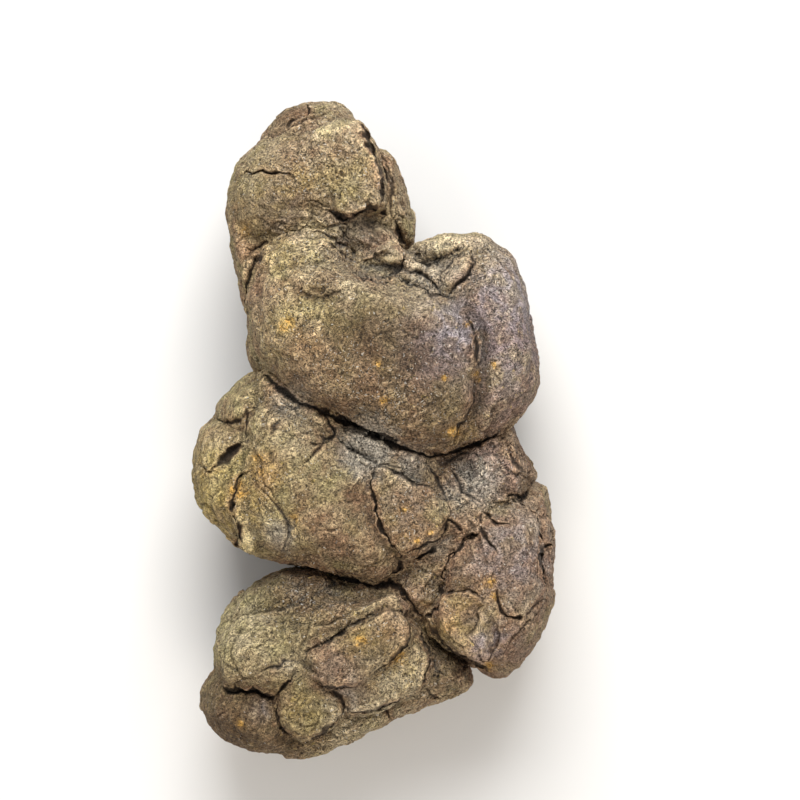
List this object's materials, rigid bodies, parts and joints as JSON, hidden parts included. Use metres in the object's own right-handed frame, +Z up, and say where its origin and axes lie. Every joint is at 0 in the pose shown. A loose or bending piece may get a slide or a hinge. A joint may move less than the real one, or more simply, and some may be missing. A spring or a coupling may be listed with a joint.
{
  "type": "coprolite",
  "caption": "Natural coprolite: a fossil dropping of folded, lumpy stone with cracks and plates, lying on its back on a small flat spot.",
  "frame": {"origin": "on the flat spot that it rests on, under the middle of its bounding box", "axes": "+Z up, away from the surface it lies on; +Y along its length towards the small end; +X across it"},
  "size_m": [0.0386, 0.0702, 0.0301],
  "materials": {
    "stone": "rough, dull, fine-grained"
  },
  "bodies": {
    "root": {"coprolite": "stone"}
  },
  "joints": []
}
